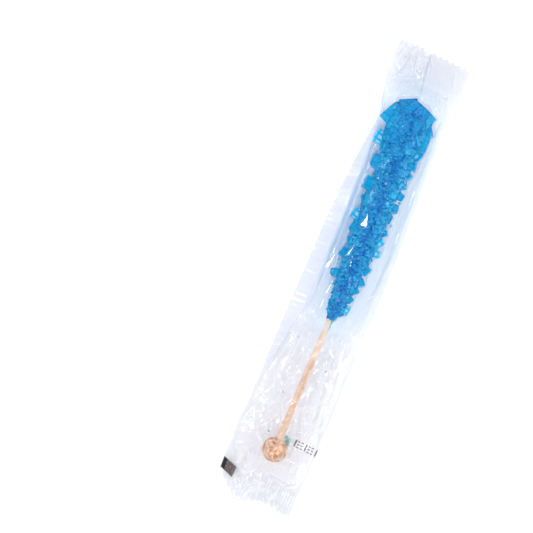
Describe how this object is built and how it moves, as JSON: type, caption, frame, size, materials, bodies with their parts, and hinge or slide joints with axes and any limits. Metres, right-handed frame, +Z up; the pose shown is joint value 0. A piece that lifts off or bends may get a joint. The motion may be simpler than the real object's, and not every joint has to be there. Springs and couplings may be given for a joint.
{
  "type": "wrapped rock candy stick",
  "caption": "Blue sugar crystals grown on a ball-ended wooden stick, sealed in a clear film pack with crimped saw-tooth ends, lying on its back.",
  "frame": {"origin": "under the middle of the pack, on the flat face that it rests on", "axes": "+Y along the pack from the stick's ball towards the candy's tip, +X to the right as it is seen from above, +Z up, away from the rest face and towards the shown side"},
  "size_m": [0.0398, 0.215, 0.0212],
  "materials": {
    "clear_film": "clear, thin, glossy and creased",
    "sugar_crystal": "clear blue sugar crystal, glossy faces",
    "birch": "bare turned birch, satin",
    "black_ink": "black print on film"
  },
  "bodies": {
    "root": {"sealed_pack": "clear_film"}
  },
  "joints": []
}
